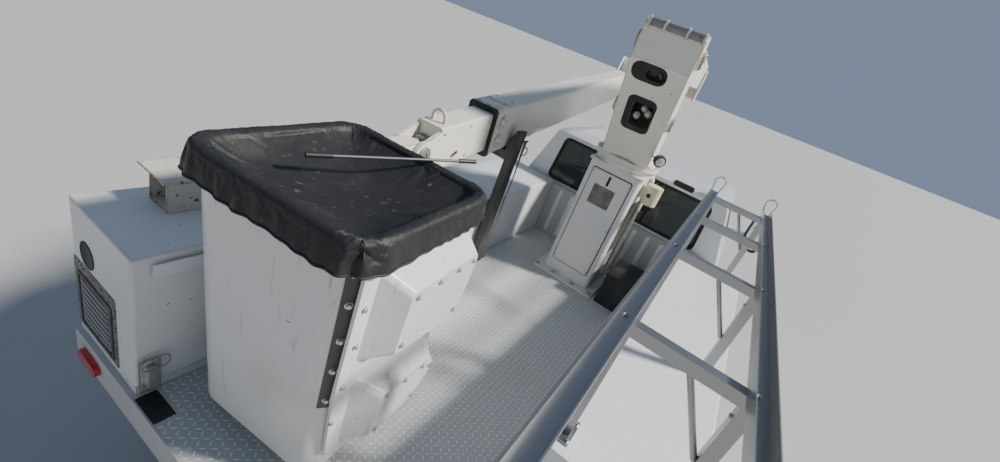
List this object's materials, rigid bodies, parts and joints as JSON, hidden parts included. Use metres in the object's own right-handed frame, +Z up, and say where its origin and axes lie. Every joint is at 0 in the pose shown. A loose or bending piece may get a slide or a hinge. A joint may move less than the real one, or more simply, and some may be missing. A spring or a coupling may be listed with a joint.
{
  "type": "cherry picker truck",
  "caption": "Service truck with an articulated telescopic boom, insulated personnel bucket, side compartments and ladder rack; wheels, steering, doors and boom move.",
  "frame": {"origin": "on the ground, at the middle of the truck's length and width", "axes": "+X forward, +Y to the left side, +Z up"},
  "size_m": [6.6398, 2.65, 3.0049],
  "materials": {
    "frame_steel": "satin black paint",
    "cast_block": "cast",
    "black_plastic": "grained",
    "exhaust_steel": "dull",
    "cab_paint": "gloss white",
    "bumper_steel": "bright",
    "clear_glass": "clear",
    "lamp_lens": "lens",
    "seat_cloth": "woven",
    "tyre_rubber": "rubber",
    "deck_plate": "white paint over tread plate",
    "body_paint": "gloss white",
    "rack_aluminium": "mill finish",
    "box_paint": "white paint",
    "boom_paint": "gloss white",
    "rod_chrome": "polished",
    "drive_iron": "beige paint",
    "strap_webbing": "polyester webbing",
    "bucket_shell": "gel coat on fibreglass",
    "cover_vinyl": "coated vinyl"
  },
  "bodies": {
    "root": {"chassis_frame": "frame_steel", "hitch_receiver": "frame_steel", "engine_block": "cast_block", "front_axle": "frame_steel", "rear_axle": "frame_steel", "leaf_springs": "frame_steel", "driveshaft": "frame_steel", "fuel_tank": "black_plastic", "exhaust": "exhaust_steel", "deck": "deck_plate", "side_body_left": "body_paint", "side_body_right": "body_paint", "cab_shell": "cab_paint", "cab_glass": "clear_glass", "seat": "seat_cloth", "dashboard": "black_plastic", "front_wings": "cab_paint", "grille": "black_plastic", "lamps": "lamp_lens", "front_bumper": "bumper_steel", "ladder_rack": "rack_aluminium", "box_tray": "box_paint", "power_unit": "cast_block", "pedestal": "boom_paint", "slew_drive": "drive_iron", "battery_box": "black_plastic", "boom_rest": "frame_steel", "tie_strap": "strap_webbing"},
    "rear_wheel_left": {"wheel_rear_left": "tyre_rubber"},
    "knuckle_left": {"knuckle_left": "frame_steel"},
    "front_wheel_left": {"wheel_front_left": "tyre_rubber"},
    "cab_door_left": {"cab_door_left": "cab_paint", "door_glass_left": "clear_glass"},
    "wheel_bay_door_left": {"wheel_bay_door_left": "body_paint"},
    "middle_bay_door_left": {"middle_bay_door_left": "body_paint"},
    "front_bay_door_left": {"front_bay_door_left": "body_paint"},
    "rear_wheel_right": {"wheel_rear_right": "tyre_rubber"},
    "knuckle_right": {"knuckle_right": "frame_steel"},
    "front_wheel_right": {"wheel_front_right": "tyre_rubber"},
    "cab_door_right": {"cab_door_right": "cab_paint", "door_glass_right": "clear_glass"},
    "wheel_bay_door_right": {"wheel_bay_door_right": "body_paint"},
    "middle_bay_door_right": {"middle_bay_door_right": "body_paint"},
    "front_bay_door_right": {"front_bay_door_right": "body_paint"},
    "hood": {"hood": "cab_paint"},
    "box_cover": {"box_cover": "box_paint", "lid_bracket": "box_paint"},
    "turret": {"turret": "boom_paint"},
    "lower_boom": {"lower_boom": "boom_paint"},
    "elbow_bracket": {"elbow_bracket": "boom_paint"},
    "outer_boom": {"outer_boom": "boom_paint"},
    "inner_boom": {"inner_boom": "boom_paint"},
    "bucket": {"bucket": "bucket_shell", "bucket_hanger": "boom_paint", "bucket_steps": "bucket_shell", "bucket_cover": "cover_vinyl"},
    "lift_barrel": {"lift_barrel": "boom_paint"},
    "lift_rod": {"lift_rod": "rod_chrome"}
  },
  "joints": [
    {"name": "rear_wheel_left_spin", "type": "hinge", "parent": "root", "child": "rear_wheel_left", "pos_m": [-1.954, 0.91, 0.405], "axis": [0, 1, 0], "continuous": true},
    {"name": "steer_left", "type": "hinge", "parent": "root", "child": "knuckle_left", "pos_m": [2.346, 0.8, 0.405], "axis": [0, 0, 1], "range_deg": [-35, 35]},
    {"name": "front_wheel_left_spin", "type": "hinge", "parent": "knuckle_left", "child": "front_wheel_left", "pos_m": [2.346, 0.95, 0.405], "axis": [0, 1, 0], "continuous": true},
    {"name": "cab_door_left", "type": "hinge", "parent": "root", "child": "cab_door_left", "pos_m": [1.863, 1.017, 1.1], "axis": [0, 0, -1], "range_deg": [0, 65]},
    {"name": "wheel_bay_left", "type": "hinge", "parent": "root", "child": "wheel_bay_door_left", "pos_m": [-1.955, 1.1913, 1.037], "axis": [-1, 0, 0], "range_deg": [0, 90]},
    {"name": "middle_bay_left", "type": "hinge", "parent": "root", "child": "middle_bay_door_left", "pos_m": [-1.333, 1.1913, 1], "axis": [0, 0, 1], "range_deg": [0, 90]},
    {"name": "front_bay_left", "type": "hinge", "parent": "root", "child": "front_bay_door_left", "pos_m": [0.098, 1.1913, 1], "axis": [0, 0, -1], "range_deg": [0, 90]},
    {"name": "rear_wheel_right_spin", "type": "hinge", "parent": "root", "child": "rear_wheel_right", "pos_m": [-1.954, -0.91, 0.405], "axis": [0, 1, 0], "continuous": true},
    {"name": "steer_right", "type": "hinge", "parent": "root", "child": "knuckle_right", "pos_m": [2.346, -0.8, 0.405], "axis": [0, 0, 1], "range_deg": [-35, 35]},
    {"name": "front_wheel_right_spin", "type": "hinge", "parent": "knuckle_right", "child": "front_wheel_right", "pos_m": [2.346, -0.95, 0.405], "axis": [0, 1, 0], "continuous": true},
    {"name": "cab_door_right", "type": "hinge", "parent": "root", "child": "cab_door_right", "pos_m": [1.863, -1.017, 1.1], "axis": [0, 0, 1], "range_deg": [0, 65]},
    {"name": "wheel_bay_right", "type": "hinge", "parent": "root", "child": "wheel_bay_door_right", "pos_m": [-1.955, -1.1913, 1.037], "axis": [1, 0, 0], "range_deg": [0, 90]},
    {"name": "middle_bay_right", "type": "hinge", "parent": "root", "child": "middle_bay_door_right", "pos_m": [-1.333, -1.1913, 1], "axis": [0, 0, -1], "range_deg": [0, 90]},
    {"name": "front_bay_right", "type": "hinge", "parent": "root", "child": "front_bay_door_right", "pos_m": [0.098, -1.1913, 1], "axis": [0, 0, 1], "range_deg": [0, 90]},
    {"name": "hood_lift", "type": "hinge", "parent": "root", "child": "hood", "pos_m": [2.053, 0, 1.418], "axis": [0, -1, 0], "range_deg": [0, 50]},
    {"name": "box_cover_tilt", "type": "hinge", "parent": "root", "child": "box_cover", "pos_m": [-2.91, 1.1863, 1.0453], "axis": [-1, 0, 0], "range_deg": [0, 85]},
    {"name": "turret_slew", "type": "hinge", "parent": "root", "child": "turret", "pos_m": [-0.3, 0, 2.035], "axis": [0, 0, 1], "continuous": true},
    {"name": "lower_lift", "type": "hinge", "parent": "turret", "child": "lower_boom", "pos_m": [-0.89671, -0.06272, 2.865], "axis": [0.1045, -0.9945, 0], "range_deg": [0, 75]},
    {"name": "elbow_level", "type": "hinge", "parent": "lower_boom", "child": "elbow_bracket", "pos_m": [2.56422, 0.30104, 2.865], "axis": [0.1045, -0.9945, 0], "range_deg": [-75, 0]},
    {"name": "upper_lift", "type": "hinge", "parent": "elbow_bracket", "child": "outer_boom", "pos_m": [2.47746, 1.1265, 2.45985], "axis": [-0.1045, 0.9945, 0], "range_deg": [0, 80]},
    {"name": "boom_extend", "type": "slide", "parent": "outer_boom", "child": "inner_boom", "axis": [-0.9891, -0.104, -0.1045], "range_m": [0, 1.8]},
    {"name": "bucket_level", "type": "hinge", "parent": "inner_boom", "child": "bucket", "pos_m": [-2.04385, 0.65129, 1.98202], "axis": [-0.1045, 0.9945, 0], "range_deg": [-80, 0]},
    {"name": "lift_barrel_tilt", "type": "hinge", "parent": "turret", "child": "lift_barrel", "pos_m": [-0.39945, -0.01045, 2.215], "axis": [0.1045, -0.9945, 0], "range_deg": [0, 34.2]},
    {"name": "lift_rod_slide", "type": "slide", "parent": "lift_barrel", "child": "lift_rod", "axis": [0.3432, 0.0361, 0.9386], "range_m": [0, 0.742]}
  ],
  "couplings": [
    {"joint": "steer_right", "follows": "steer_left", "ratio": 1},
    {"joint": "elbow_level", "follows": "lower_lift", "ratio": -1},
    {"joint": "lift_barrel_tilt", "follows": "lower_lift", "ratio": 0.45},
    {"joint": "lift_rod_slide", "follows": "lower_lift", "m_per_rad": 0.565},
    {"joint": "bucket_level", "follows": "upper_lift", "ratio": -1},
    {"joint": "turret_slew", "follows": "upper_lift", "ratio": 1.15}
  ]
}
